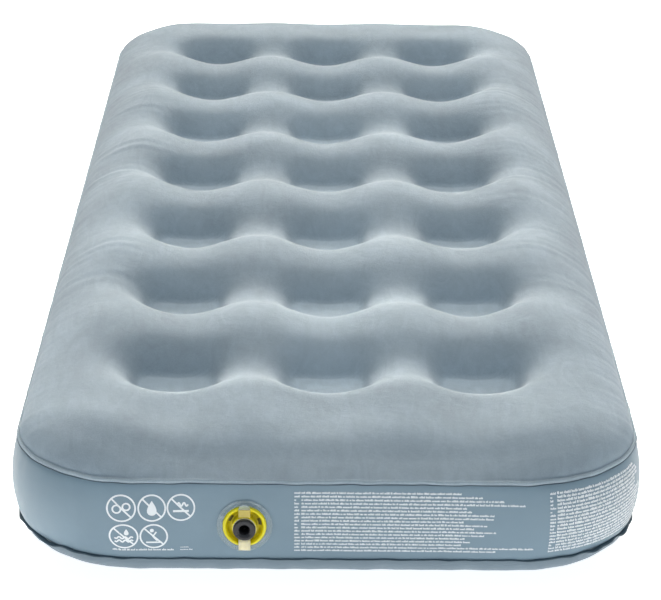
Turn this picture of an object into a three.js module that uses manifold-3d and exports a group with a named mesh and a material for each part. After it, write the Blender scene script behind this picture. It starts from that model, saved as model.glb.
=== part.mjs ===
// Single camping air mattress: a flocked top sheet, a side wall band and a bottom sheet welded
// into one air chamber, held flat by 21 internal coil beams, with a two-stage valve at the foot.
// Millimetres, +Z up. The origin is under the middle of the mattress, the valve end faces -Y.
import * as THREE from "three";
import { mergeVertices } from "three/addons/utils/BufferGeometryUtils.js";
import Module from "manifold-3d";

// ---- Driving dimensions ----
const LENGTH = 1905; // over the bulge of the side wall
const WIDTH = 740;
const HEIGHT = 193; // floor to the highest crest of the top sheet
const WALL_BULGE = 4; // how far the side wall swells out past its two seams
const CORNER_R = 145; // corner radius of the seams, seen from above
const FILM = 1.6; // thickness that stands for the film of the sheets and the wall
const GAP = 0.4; // clearance between pieces that are welded on the real object

const TOP_SEAM_Z = 132;
const BOTTOM_SEAM_Z = 39;
const SEAM_THICK = 1.6;
const SEAM_OUT = 4; // how far the weld fin stands out of the seam
const SEAM_IN = 2.5;
const EDGE_ROLL = 72; // width over which a sheet curves from its seam to flat
const END_DROP = 24; // the top sheet's crests are this much lower at the head and foot

// Coil beams, 3 across and 7 along
const COLUMNS = 3;
const ROWS = 7;
const COLUMN_PITCH = 187;
const ROW_PITCH = 232;
const FLOOR_HALF_X = 46; // flat welded floor of a dimple
const FLOOR_HALF_Y = 35;
const DIMPLE_WALL_X = 46; // run of a dimple's wall, from its floor to the crest
const DIMPLE_WALL_Y = 62;
const TOP_DIMPLE = 41; // depth of the dimples in the top sheet
const BOTTOM_DIMPLE = 30;
const COIL_WALL = 1.2;
const COIL_CLEAR = 2.5; // the coil's tube stands this far inside the welded floor

// Valve, on the side wall at the foot end. Its own axis points out, along -Y.
const VALVE_X = -94;
const VALVE_Z = (TOP_SEAM_Z + BOTTOM_SEAM_Z) / 2 - 5.5;
const FLANGE_R = 32;
const FLANGE_THICK = 1.8;
const CUP_R = 25;
const RIM_OUT = 5.5; // the cup's rim stands this far out of the wall
const STEM_R = 14.2;
const STEM_BORE_R = 11;
const STEM_OUT = 8.5;
const STEM_IN = 17; // how far the stem reaches into the mattress
const STOPPER_R = 13;
const BARREL_R = 10.5;
const NOZZLE_R = 6; // the hole that a pump's nozzle goes into
const GRIP_THICK = 4;
const FLEX_GAP = 0.8; // room for the pull tab to fold at its root
const STRAP_THICK = 1.2;
const STRAP_HALF = 6.8;
const TAB_REACH = 31; // valve axis to the round end of the pull tab
const ANCHOR_REACH = 29.5;
const FLAP_THICK = 1;

const seamHalfX = WIDTH / 2 - WALL_BULGE;
const seamHalfY = LENGTH / 2 - WALL_BULGE;
const columnX = (c) => (c - (COLUMNS - 1) / 2) * COLUMN_PITCH;
const rowY = (r) => (r - (ROWS - 1) / 2) * ROW_PITCH;

const part = new THREE.Group();
const group = new THREE.Group(); // everything, measured from the middle of the mattress itself
part.add(group);
const wasm = await Module();
wasm.setup();

const finish = {
  flocked: { color: 0x9fb0bb, roughness: 0.95, metalness: 0 },
  film: { color: 0x8094a4, roughness: 0.45, metalness: 0 },
  coil: { color: 0xb9c3ca, roughness: 0.5, metalness: 0 },
  clear: { color: 0xc9d2d6, roughness: 0.2, metalness: 0 },
  yellow: { color: 0xd8c81a, roughness: 0.3, metalness: 0 },
  black: { color: 0x26262b, roughness: 0.45, metalness: 0 },
  strap: { color: 0xe6dfae, roughness: 0.35, metalness: 0 },
};

function add(name, geometry, look, parent = group) {
  const mesh = new THREE.Mesh(geometry, new THREE.MeshStandardMaterial(finish[look]));
  mesh.name = name;
  parent.add(mesh);
  return mesh;
}

// ---- Geometry helpers ----

// A surface from rows of points that closes on itself both ways, like a torus.
function closedLoft(rings) {
  const across = rings[0].length;
  const positions = rings.flat().flatMap((p) => [p.x, p.y, p.z]);
  const index = [];
  for (let i = 0; i < rings.length; i++) {
    for (let j = 0; j < across; j++) {
      const a = i * across + j;
      const b = i * across + ((j + 1) % across);
      const c = ((i + 1) % rings.length) * across + ((j + 1) % across);
      const d = ((i + 1) % rings.length) * across + j;
      index.push(a, b, c, a, c, d);
    }
  }
  return indexed(positions, index);
}

function indexed(positions, index) {
  const geometry = new THREE.BufferGeometry();
  geometry.setAttribute("position", new THREE.Float32BufferAttribute(positions, 3));
  geometry.setIndex(index);
  return geometry;
}

// The seams' outline, grown by `out`, at height z: a rounded rectangle, anticlockwise from above.
function outline(out, z) {
  const steps = 6;
  const points = [];
  const quarters = [[1, 1], [-1, 1], [-1, -1], [1, -1]];
  quarters.forEach(([sx, sy], q) => {
    for (let i = 0; i <= steps; i++) {
      const a = ((q + i / steps) * Math.PI) / 2;
      points.push(new THREE.Vector3(
        sx * (seamHalfX - CORNER_R) + (CORNER_R + out) * Math.cos(a),
        sy * (seamHalfY - CORNER_R) + (CORNER_R + out) * Math.sin(a),
        z,
      ));
    }
  });
  return points;
}

// Where sheet coordinate (u, v), on a rectangle, lies in the plan with its round corners.
function planPoint(u, v, inset) {
  const halfX = seamHalfX - CORNER_R;
  const halfY = seamHalfY - CORNER_R;
  const a = Math.max(0, Math.abs(u) - halfX) / CORNER_R;
  const b = Math.max(0, Math.abs(v) - halfY) / CORNER_R;
  const radius = CORNER_R - inset;
  if (a === 0 || b === 0) {
    const x = Math.sign(u) * (Math.min(Math.abs(u), halfX) + a * radius);
    const y = Math.sign(v) * (Math.min(Math.abs(v), halfY) + b * radius);
    return [x, y];
  }
  const r = Math.max(a, b) * radius;
  const angle = a >= b ? (Math.PI / 4) * (b / a) : Math.PI / 2 - (Math.PI / 4) * (a / b);
  return [
    Math.sign(u) * (halfX + r * Math.cos(angle)),
    Math.sign(v) * (halfY + r * Math.sin(angle)),
  ];
}

// 0 at a sheet's seam, rising as a quarter ellipse to 1 once it is EDGE_ROLL in from it.
function edgeRise(u, v) {
  const inset = Math.min(seamHalfX - Math.abs(u), seamHalfY - Math.abs(v));
  const t = Math.min(1, inset / EDGE_ROLL);
  return Math.sqrt(Math.max(0, 1 - (1 - t) ** 2));
}

// 1 on a dimple's floor, falling steeply and then gently to 0 at the crest around it.
function dimple(x, y) {
  let deepest = 0;
  for (let c = 0; c < COLUMNS; c++) {
    for (let r = 0; r < ROWS; r++) {
      const dx = Math.max(0, Math.abs(x - columnX(c)) - FLOOR_HALF_X) / DIMPLE_WALL_X;
      const dy = Math.max(0, Math.abs(y - rowY(r)) - FLOOR_HALF_Y) / DIMPLE_WALL_Y;
      const t = Math.min(1, Math.hypot(dx, dy));
      deepest = Math.max(deepest, 1 - Math.sqrt(1 - (1 - t) ** 2));
    }
  }
  return deepest;
}

// The grid lines of a sheet along one axis: close together at the seam and at each dimple's wall.
function gridLines(half, centres, offsets) {
  const edge = [0, 8, 24, 50].flatMap((inset) => [-(half - inset), half - inset]);
  const inner = centres.flatMap((m) => offsets.flatMap((o) => [m - o, m + o]));
  const kept = inner.filter((v) => Math.abs(v) < half - EDGE_ROLL + 20);
  return [...new Set([...edge, ...kept])].sort((p, q) => p - q);
}

// A sheet: a closed shell FILM thick between its outer face and an inner one just behind it.
// crest is its height over the seam, less endDrop at its ends, and side is +1 for the top.
function sheet(us, vs, seamZ, side, crest, depth, endDrop) {
  const positions = [];
  for (const inner of [false, true]) {
    for (const v of vs) {
      for (const u of us) {
        const [x, y] = planPoint(u, v, 0);
        const dropped = crest - endDrop * (y / seamHalfY) ** 2;
        const rise = Math.max(0, dropped * edgeRise(u, v) - depth * dimple(x, y));
        const thin = FILM * Math.min(1, rise / (3 * FILM));
        const [px, py] = inner ? planPoint(u, v, FILM) : [x, y];
        positions.push(px, py, seamZ + side * (inner ? rise - thin : rise));
      }
    }
  }
  const n = us.length;
  const m = vs.length;
  const at = (inner, j, i) => (inner ? n * m : 0) + j * n + i;
  const index = [];
  const quad = (a, b, c, d) => index.push(a, b, c, a, c, d);
  for (let j = 0; j < m - 1; j++) {
    for (let i = 0; i < n - 1; i++) {
      quad(at(0, j, i), at(0, j, i + 1), at(0, j + 1, i + 1), at(0, j + 1, i));
      quad(at(1, j, i), at(1, j + 1, i), at(1, j + 1, i + 1), at(1, j, i + 1));
    }
  }
  for (let i = 0; i < n - 1; i++) {
    quad(at(0, 0, i), at(1, 0, i), at(1, 0, i + 1), at(0, 0, i + 1));
    quad(at(0, m - 1, i + 1), at(1, m - 1, i + 1), at(1, m - 1, i), at(0, m - 1, i));
  }
  for (let j = 0; j < m - 1; j++) {
    quad(at(0, j + 1, 0), at(1, j + 1, 0), at(1, j, 0), at(0, j, 0));
    quad(at(0, j, n - 1), at(1, j, n - 1), at(1, j + 1, n - 1), at(0, j + 1, n - 1));
  }
  if (side < 0) {
    for (let k = 0; k < index.length; k += 3) {
      [index[k + 1], index[k + 2]] = [index[k + 2], index[k + 1]];
    }
  }
  return indexed(positions, index);
}

// A turned piece on the valve's axis from [radius, distance out of the wall] pairs, closed.
function turned(profile, segments = 24) {
  const points = profile.map(([r, out]) => new THREE.Vector2(r, out));
  const area = points.reduce((sum, p, i) => sum + p.cross(points[(i + 1) % points.length]), 0);
  if (area < 0) points.reverse();
  return new THREE.LatheGeometry([...points, points[0]], segments);
}

// A flat piece on the valve's face from a THREE.Shape in (x, z), between two distances out.
function flat(shape, from, to, curveSegments = 10) {
  const options = { depth: to - from, bevelEnabled: false, curveSegments };
  return new THREE.ExtrudeGeometry(shape, options).translate(0, 0, from);
}

function asSolid(geometry) {
  const bare = geometry.index ? geometry.clone() : geometry;
  bare.deleteAttribute("normal");
  bare.deleteAttribute("uv");
  const merged = mergeVertices(bare, 1e-3);
  return new wasm.Manifold(new wasm.Mesh({
    numProp: 3,
    vertProperties: new Float32Array(merged.attributes.position.array),
    triVerts: new Uint32Array(merged.index.array),
  }));
}

function asGeometry(solid) {
  const mesh = solid.getMesh();
  return indexed(Array.from(mesh.vertProperties), Array.from(mesh.triVerts));
}

// ---- Sheets ----
const columns = [...Array(COLUMNS).keys()].map(columnX);
const rows = [...Array(ROWS).keys()].map(rowY);
const acrossLines = gridLines(seamHalfX, columns, [FLOOR_HALF_X, COLUMN_PITCH / 2]);
const edgeOfDimple = FLOOR_HALF_Y + DIMPLE_WALL_Y;
const topLines = gridLines(seamHalfY, rows, [FLOOR_HALF_Y, FLOOR_HALF_Y + 25, edgeOfDimple]);
const bottomLines = gridLines(seamHalfY, rows, [FLOOR_HALF_Y, edgeOfDimple]);
const topEdgeZ = TOP_SEAM_Z + SEAM_THICK / 2 + GAP;
const bottomEdgeZ = BOTTOM_SEAM_Z - SEAM_THICK / 2 - GAP;

add("top_sheet",
  sheet(acrossLines, topLines, topEdgeZ, 1, HEIGHT - topEdgeZ, TOP_DIMPLE, END_DROP),
  "flocked");
add("bottom_sheet",
  sheet(acrossLines, bottomLines, bottomEdgeZ, -1, bottomEdgeZ, BOTTOM_DIMPLE, 0), "film");

// ---- Weld seams: a fin of doubled film all round, where a sheet meets the side wall ----
for (const [name, z] of [["top_seam_fin", TOP_SEAM_Z], ["bottom_seam_fin", BOTTOM_SEAM_Z]]) {
  add(name, closedLoft([
    outline(SEAM_OUT, z - SEAM_THICK / 2),
    outline(SEAM_OUT, z + SEAM_THICK / 2),
    outline(-SEAM_IN, z + SEAM_THICK / 2),
    outline(-SEAM_IN, z - SEAM_THICK / 2),
  ]), "film");
}

// ---- Side wall: a band between the seams, swollen outwards, with the valve's flat boss ----
const wallLow = BOTTOM_SEAM_Z + SEAM_THICK / 2 + GAP;
const wallHigh = TOP_SEAM_Z - SEAM_THICK / 2 - GAP;
const WALL_LEVELS = 6;
function wallRing(level, inset) {
  const t = level / WALL_LEVELS;
  return outline(WALL_BULGE * Math.sin(Math.PI * t) - inset, wallLow + t * (wallHigh - wallLow));
}
const levels = [...Array(WALL_LEVELS + 1).keys()];
const band = closedLoft([
  ...levels.map((l) => wallRing(l, 0)),
  ...levels.reverse().map((l) => wallRing(l, FILM)),
]);

const valve = new THREE.Group(); // +Z of this group is the valve's axis, out of the mattress
valve.position.set(VALVE_X, -LENGTH / 2, VALVE_Z);
valve.rotation.x = Math.PI / 2;
valve.updateMatrix();
group.add(valve);

// Lathes turn about their own Y, so a quarter turn stands them on the valve group's Z.
const onAxis = (geometry) => geometry.rotateX(Math.PI / 2);
const BOSS_R = FLANGE_R + 4;
const BOSS_DEPTH = 10;
const boss = onAxis(turned([[0, -BOSS_DEPTH], [BOSS_R, -BOSS_DEPTH], [BOSS_R, 0.5], [0, 0.5]]));
const bore = onAxis(turned([[0, -30], [CUP_R + GAP, -30], [CUP_R + GAP, 30], [0, 30]]));
add("side_wall", asGeometry(
  asSolid(band)
    .add(asSolid(boss.applyMatrix4(valve.matrix)))
    .subtract(asSolid(bore.applyMatrix4(valve.matrix))),
), "film");

// ---- Coil beams: oval tubes of film, welded to the floors of the dimples above and below ----
const coilLow = BOTTOM_DIMPLE + FILM + 2 * GAP;
// A coil reaches up to the sheet over its end that is further from the middle of the mattress.
function coilHigh(y) {
  const drop = END_DROP * ((Math.abs(y) + FLOOR_HALF_Y) / seamHalfY) ** 2;
  return HEIGHT - TOP_DIMPLE - drop - FILM - 2 * GAP;
}
function oval(target, inset) {
  const r = FLOOR_HALF_Y - COIL_CLEAR - inset;
  const half = FLOOR_HALF_X - FLOOR_HALF_Y;
  target.absarc(half, 0, r, -Math.PI / 2, Math.PI / 2, false);
  target.absarc(-half, 0, r, Math.PI / 2, (3 * Math.PI) / 2, false);
  return target;
}
for (let r = 0; r < ROWS; r++) {
  for (let c = 0; c < COLUMNS; c++) {
    const shape = oval(new THREE.Shape(), 0);
    shape.holes.push(oval(new THREE.Path(), COIL_WALL));
    const coil = add(`coil_beam_row${r + 1}_${["left", "middle", "right"][c]}`,
      flat(shape, coilLow, coilHigh(rowY(r)), 5), "coil");
    coil.position.set(columnX(c), rowY(r), 0);
  }
}

// ---- Valve ----
const flangeFrom = 0.5 + GAP;
add("valve_flange", onAxis(turned([
  [CUP_R + GAP, flangeFrom],
  [FLANGE_R, flangeFrom],
  [FLANGE_R, flangeFrom + FLANGE_THICK * 0.6],
  [CUP_R + GAP, flangeFrom + FLANGE_THICK],
])), "clear", valve);

// The cup: a dished ring with a raised rim, and the stem that the stopper plugs, one moulding.
add("valve_cup", onAxis(turned([
  [CUP_R, -6], [CUP_R, RIM_OUT - 1], [CUP_R - 1, RIM_OUT], [CUP_R - 2.6, RIM_OUT],
  [CUP_R - 4, -1.5], [STEM_R, -3], [STEM_R, STEM_OUT], [STEM_BORE_R, STEM_OUT],
  [STEM_BORE_R, -STEM_IN], [STEM_R - 1, -STEM_IN], [STEM_R - 1, -6],
], 28)), "yellow", valve);

const strapFrom = STEM_OUT + GAP;
const gripFrom = strapFrom + STRAP_THICK + GAP;
const barrelEnd = -STEM_IN - 2;
const RING_AT = -8; // where the seal ring sits along the barrel
add("inflation_stopper", onAxis(turned([
  [NOZZLE_R, barrelEnd], [BARREL_R, barrelEnd],
  [BARREL_R, RING_AT - 1.6], [BARREL_R - 1.2, RING_AT - 1.6],
  [BARREL_R - 1.2, RING_AT + 1.6], [BARREL_R, RING_AT + 1.6],
  [BARREL_R, gripFrom], [STOPPER_R, gripFrom], [STOPPER_R, gripFrom + GRIP_THICK - 1],
  [STOPPER_R - 1, gripFrom + GRIP_THICK], [NOZZLE_R, gripFrom + GRIP_THICK],
])), "black", valve);
add("stopper_seal_ring", onAxis(turned([
  [BARREL_R - 0.8, RING_AT - 1.2], [BARREL_R + 0.2, RING_AT - 1.2],
  [BARREL_R + 0.2, RING_AT + 1.2], [BARREL_R - 0.8, RING_AT + 1.2],
])), "black", valve);

// The strap's collar is trapped under the stopper's grip; its pull tab folds about the collar.
const collar = new THREE.Shape().absarc(0, 0, STEM_R - 0.6, 0, Math.PI * 2, false);
collar.holes.push(new THREE.Path().absarc(0, 0, BARREL_R + GAP, 0, Math.PI * 2, true));
add("strap_collar", flat(collar, strapFrom, strapFrom + STRAP_THICK), "strap", valve);

const tabRoot = STEM_R - 0.6 + FLEX_GAP;
const tab = new THREE.Shape();
tab.moveTo(-STRAP_HALF, tabRoot);
tab.lineTo(STRAP_HALF, tabRoot);
tab.lineTo(STRAP_HALF, TAB_REACH - STRAP_HALF);
tab.absarc(0, TAB_REACH - STRAP_HALF, STRAP_HALF, 0, Math.PI, false);
add("pull_tab", flat(tab, strapFrom, strapFrom + STRAP_THICK), "strap", valve);

// The anchor end of the strap runs down over the cup's rim and is welded to the flange.
const anchorTop = strapFrom + STRAP_THICK;
const flangeFace = flangeFrom + FLANGE_THICK + GAP;
const anchor = new THREE.Shape();
[
  [-tabRoot, anchorTop], [-ANCHOR_REACH, anchorTop], [-ANCHOR_REACH, flangeFace],
  [-ANCHOR_REACH + 2.8, flangeFace], [-ANCHOR_REACH + 2.8, strapFrom], [-tabRoot, strapFrom],
].forEach(([z, out], i) => (i ? anchor.lineTo(z, out) : anchor.moveTo(z, out)));
const anchorTab = new THREE.ExtrudeGeometry(anchor, { depth: 2 * STRAP_HALF, bevelEnabled: false });
anchorTab.translate(0, 0, -STRAP_HALF);
anchorTab.applyMatrix4(new THREE.Matrix4().set(0, 0, 1, 0, 1, 0, 0, 0, 0, 1, 0, 0, 0, 0, 0, 1));
add("anchor_tab", anchorTab, "strap", valve);

// The one-way flap hangs behind the stopper's inner end and opens into the mattress.
const FLAP_R = NOZZLE_R + 2.5;
add("check_flap", onAxis(turned([
  [0, barrelEnd - GAP - FLAP_THICK], [FLAP_R, barrelEnd - GAP - FLAP_THICK],
  [FLAP_R, barrelEnd - GAP], [0, barrelEnd - GAP],
], 20)), "black", valve);

// The frame's origin is under the middle of the whole part, with the stopper that stands out of it.
group.position.y = (gripFrom + GRIP_THICK) / 2;

export default part;
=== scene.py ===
"""Looks of the single flocked air mattress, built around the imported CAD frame. Metres, +Z up."""
import math
import bpy
import numpy as np
from mathutils import Matrix, Vector


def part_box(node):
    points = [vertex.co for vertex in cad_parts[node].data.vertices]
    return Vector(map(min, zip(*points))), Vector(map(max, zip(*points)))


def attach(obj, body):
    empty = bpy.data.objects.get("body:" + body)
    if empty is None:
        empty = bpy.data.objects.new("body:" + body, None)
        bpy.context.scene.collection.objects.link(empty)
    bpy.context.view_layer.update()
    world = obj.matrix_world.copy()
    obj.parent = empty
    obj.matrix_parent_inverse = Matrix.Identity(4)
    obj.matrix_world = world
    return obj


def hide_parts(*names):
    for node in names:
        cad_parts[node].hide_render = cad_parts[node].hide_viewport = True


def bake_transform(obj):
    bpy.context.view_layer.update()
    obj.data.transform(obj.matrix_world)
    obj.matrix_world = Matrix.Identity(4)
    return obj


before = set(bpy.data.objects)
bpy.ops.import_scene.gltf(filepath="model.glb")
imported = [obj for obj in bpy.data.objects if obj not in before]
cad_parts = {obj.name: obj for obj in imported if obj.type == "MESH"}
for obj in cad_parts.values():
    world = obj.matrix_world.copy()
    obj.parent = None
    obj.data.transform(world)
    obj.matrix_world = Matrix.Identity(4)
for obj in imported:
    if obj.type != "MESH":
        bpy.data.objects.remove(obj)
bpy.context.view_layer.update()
MM = 0.001
rng = np.random.default_rng(11)

# ---- Places that the CAD frame gives ----
sheet_low, sheet_high = (np.array(p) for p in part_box("top_sheet"))
fin_low, fin_high = (np.array(p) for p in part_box("bottom_seam_fin"))
welt_low, welt_high = (np.array(p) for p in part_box("top_seam_fin"))
CENTRE_Y = (sheet_low[1] + sheet_high[1]) / 2
HALF_X = (sheet_high[0] - sheet_low[0]) / 2
HALF_Y = (sheet_high[1] - sheet_low[1]) / 2
TOP_SEAM = (welt_low[2] + welt_high[2]) / 2
SEAM_SAG = 4 * MM  # the bottom seam hangs a little lower than on the CAD model
BOTTOM_SEAM = (fin_low[2] + fin_high[2]) / 2 - SEAM_SAG
CREST = sheet_high[2]
BULGE = (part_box("side_wall")[1][0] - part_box("side_wall")[0][0]) / 2 - HALF_X
cup_low, cup_high = (np.array(p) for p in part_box("valve_cup"))
VALVE = np.array([(cup_low[0] + cup_high[0]) / 2, CENTRE_Y - HALF_Y - BULGE,
                  (cup_low[2] + cup_high[2]) / 2])
ROWS = 7
SIDES = ("left", "middle", "right")
coil_boxes = [[np.array(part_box(f"coil_beam_row{r + 1}_{side}")) for side in SIDES]
              for r in range(ROWS)]
COIL_CLEAR = 2.5 * MM  # a dimple's welded floor is wider than its coil beam by this on each side
first_coil_low, first_coil_high = coil_boxes[0][0]
floor_half = (first_coil_high - first_coil_low)[:2] / 2 + COIL_CLEAR
coil_centres = [(box[0] + box[1])[:2] / 2 for row in coil_boxes for box in row]
ROW_PITCH = coil_centres[len(SIDES)][1] - coil_centres[0][1]
COLUMN_PITCH = coil_centres[1][0] - coil_centres[0][0]

# ---- The inflated shape ----
GRID = 4 * MM
CORNER_R = 145 * MM  # of the seams, seen from above
SIDE_ROLL = 92 * MM  # width over which the top sheet curves over from its seam
SIDE_ROLL_POWER = 0.5  # the roll is a quarter of an ellipse
FOOT_ROLL = 225 * MM  # the same at the foot, where the roll is a long flat slope
FOOT_ROLL_POWER = 0.9
FOOT_SLOPE_REACH = 360 * MM  # the slope ends this far from the foot's seam
FOOT_SLOPE_FADE = 200 * MM
FOOT_SLOPE_INSET = 220 * MM  # and it narrows this far from the side seams
FOOT_SLOPE_SIDE_FADE = 160 * MM
BASE_ROLL = 75 * MM
TOP_DIP = 41 * MM
BOTTOM_DIP = 30 * MM
FLOOR_POWER = 3.4  # how square the welded floor of a dimple is
FLOOR_LIFT = 0.14  # share of the depth by which the sides of a floor rise
END_DROP = 27 * MM  # the crests are lower towards both ends
FOOT_SAG = 7 * MM  # the foot's chamber is slacker than the others
FOOT_CREST_INSET = 150 * MM
FOOT_CREST_WIDTH = 75 * MM
SCALLOP = 14 * MM  # the ridges rise and fall by this much along their length
SCALLOP_FADE = 0.6  # in row pitches past the last ridge
END_CALM = 0.45  # share by which the end ridges rise and fall less
CALM_INSET = 250 * MM
CALM_FADE = 100 * MM
SHEET_WAVE = 0.9 * MM  # the inflated film is slightly uneven
SHEET_WAVE_SIZE = 220 * MM
SEAM_PUCKER = 0.8 * MM
FLANK_WRINKLE = 0.35 * MM
FLOOR_PAINTED_LIGHT = 0.2  # painted light: how much paler the flock is painted on the dimples' welded floors, which face up
ROLL_PAINTED_SHADE = 0.14  # painted shade: how much darker the flock is painted on the rolls, away from the foot
WELD_BLUR = 6 * MM
ROLL_BLUR = 50 * MM

# How the film is solved
WELD_HOLD = 40  # how stiffly a weld holds the film, next to the film's own pull
SIDE_HELD = 0.45 * SIDE_ROLL  # nearer the seams than this the film's height is given
SIDE_HEIGHT = 1.5  # in ridge heights
TAUT = 1.12  # height, in ridge heights, at which the film runs out of slack
TAUT_POWER = 6  # how suddenly it does
SWEEPS = 160
OVER_RELAXATION = 1.85


def smooth(t):
    """0 up to t = 0, 1 from t = 1, and an S-shaped curve between."""
    t = np.clip(t, 0, 1)
    return t * t * (3 - 2 * t)


def ripples(s, waves, seed):
    """Smooth noise along a line: a sum of sines of the given wavelengths, within about +-1."""
    phases = np.random.default_rng(seed).uniform(0, 2 * math.pi, len(waves))
    return sum(np.sin(2 * math.pi * s / w + p) for w, p in zip(waves, phases)) / len(waves) ** 0.5


def mottle(x, y, size, seed, octaves=3):
    """Smooth two-way noise from crossed sines, within about +-1."""
    source = np.random.default_rng(seed)
    total = np.zeros(np.broadcast(x, y).shape)
    for octave in range(octaves):
        for _ in range(5):
            angle, phase = source.uniform(0, 2 * math.pi, 2)
            wave = size / 1.9 ** octave * source.uniform(0.7, 1.4)
            along = x * math.cos(angle) + y * math.sin(angle)
            total += np.sin(2 * math.pi * along / wave + phase) * 0.6 ** octave
    return total / 4


def edge_rise(inset, x, y):
    """0 at the top sheet's seam, rising in a roll to 1. The roll is wider and flatter at the foot."""
    near_side = smooth((np.abs(x) - HALF_X + FOOT_SLOPE_INSET) / FOOT_SLOPE_SIDE_FADE)
    foot = smooth((FOOT_SLOPE_REACH - HALF_Y - y) / FOOT_SLOPE_FADE) * (1 - near_side)
    t = np.clip(inset / (SIDE_ROLL + (FOOT_ROLL - SIDE_ROLL) * foot), 0, 1)
    power = SIDE_ROLL_POWER + (FOOT_ROLL_POWER - SIDE_ROLL_POWER) * foot
    return np.clip(1 - (1 - t) ** 2, 0, 1) ** power


def inset_from_seam(x, y):
    """Distance inside the seams' rounded outline, for points measured from its middle."""
    qx = np.abs(x) - (HALF_X - CORNER_R)
    qy = np.abs(y) - (HALF_Y - CORNER_R)
    outside = np.hypot(np.maximum(qx, 0), np.maximum(qy, 0))
    return CORNER_R - outside - np.minimum(np.maximum(qx, qy), 0)


def nearest_coil(x, y):
    """Offsets in x and y from the nearest dimple's middle."""
    centres = np.array(coil_centres) - [0, CENTRE_Y]
    columns = np.unique(np.round(centres[:, 0], 5))
    rows = np.unique(np.round(centres[:, 1], 5))
    dx = x[..., None] - columns
    dy = y[..., None] - rows
    nearest_x = np.take_along_axis(dx, np.abs(dx).argmin(-1)[..., None], -1)[..., 0]
    nearest_y = np.take_along_axis(dy, np.abs(dy).argmin(-1)[..., None], -1)[..., 0]
    return nearest_x, nearest_y


def floor_cover(x, y, blur):
    """1 on a dimple's welded floor, 0 off it, with an edge one blur wide."""
    dx, dy = nearest_coil(x, y)
    size = (np.abs(dx / floor_half[0]) ** FLOOR_POWER
            + np.abs(dy / floor_half[1]) ** FLOOR_POWER) ** (1 / FLOOR_POWER)
    return np.clip(0.5 - (size - 1) * floor_half.min() / blur, 0, 1)


def pressed_membrane(step):
    """How high air pressure lifts a film that is held on the floors: 0 there, 1 on a ridge.

    Solves Poisson's equation by over-relaxation, from a coarse grid to the wanted one, and
    returns the heights and the grid's axes.
    """
    span = ROW_PITCH / 2 - floor_half[1]
    ridge = span ** 2 / 2  # the height of a long ridge, whose section is a parabola
    height = None
    for level in (step * 4, step * 2, step):
        xs = np.arange(-HALF_X, HALF_X + level, level)
        ys = np.arange(-HALF_Y, HALF_Y + level, level)
        x, y = np.meshgrid(xs, ys)
        held = floor_cover(x, y, level) * WELD_HOLD
        side = inset_from_seam(x, y) < SIDE_HELD
        if height is None:
            height = np.full(x.shape, ridge)
        else:
            height = sample(height, coarse, x, y)
        coarse = (xs, ys)
        height[side] = ridge * SIDE_HEIGHT
        parity = (np.add.outer(np.arange(len(ys)), np.arange(len(xs))) % 2)[1:-1, 1:-1]
        free = ~side[1:-1, 1:-1]
        weight = 4 + held[1:-1, 1:-1]
        for _ in range(SWEEPS):
            for colour in (0, 1):
                neighbours = (height[:-2, 1:-1] + height[2:, 1:-1]
                              + (height[1:-1, :-2] + height[1:-1, 2:]))
                wanted = (neighbours + level ** 2) / weight
                change = OVER_RELAXATION * (wanted - height[1:-1, 1:-1])
                height[1:-1, 1:-1] += np.where(free & (parity == colour), change, 0)
    middle = sample(height, coarse, np.array(0.0), np.array(ROW_PITCH / 2))
    height = height / middle
    # The film can't stretch, so a wider chamber hardly rises above the ridges.
    eased = height / (1 + (height / TAUT) ** TAUT_POWER) ** (1 / TAUT_POWER)
    return eased * (1 + TAUT ** -TAUT_POWER) ** (1 / TAUT_POWER), coarse


def sample(values, axes, x, y):
    """Values on a regular grid, read between its points."""
    xs, ys = axes
    fx = np.clip((x - xs[0]) / (xs[1] - xs[0]), 0, len(xs) - 1.001)
    fy = np.clip((y - ys[0]) / (ys[1] - ys[0]), 0, len(ys) - 1.001)
    i, j = fx.astype(int), fy.astype(int)
    a, b = fx - i, fy - j
    return ((1 - b) * ((1 - a) * values[j, i] + a * values[j, i + 1])
            + b * ((1 - a) * values[j + 1, i] + a * values[j + 1, i + 1]))


def lines(half, roll, step):
    """Grid lines across a sheet, closer together where it rolls over at its seam."""
    rim_share, rim_lines = 0.65, 15
    turn = np.linspace(0, math.acos(1 - rim_share), rim_lines)
    rim = (1 - np.cos(turn)) * roll
    inner = np.linspace(-(half - rim[-1]), half - rim[-1], int(2 * (half - rim[-1]) / step) + 1)
    return np.concatenate([-(half - rim[:-1]), inner, (half - rim[:-1])[::-1]])


def plan_grid(step):
    """A grid of plan points that fills the seams' rounded outline, and each point's inset."""
    u, v = np.meshgrid(lines(HALF_X, SIDE_ROLL, step), lines(HALF_Y, SIDE_ROLL, step))
    core_x, core_y = HALF_X - CORNER_R, HALF_Y - CORNER_R
    a = np.maximum(0, np.abs(u) - core_x) / CORNER_R
    b = np.maximum(0, np.abs(v) - core_y) / CORNER_R
    reach = np.maximum(a, b)
    safe = np.where(reach > 0, reach, 1)
    angle = np.where(a >= b, math.pi / 4 * b / safe, math.pi / 2 - math.pi / 4 * a / safe)
    in_corner = (a > 0) & (b > 0)
    x = np.where(in_corner, core_x + reach * CORNER_R * np.cos(angle), np.abs(u))
    y = np.where(in_corner, core_y + reach * CORNER_R * np.sin(angle), np.abs(v))
    inset = np.minimum(HALF_X - np.abs(u), HALF_Y - np.abs(v))
    return np.sign(u) * x, np.sign(v) * y, inset


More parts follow.
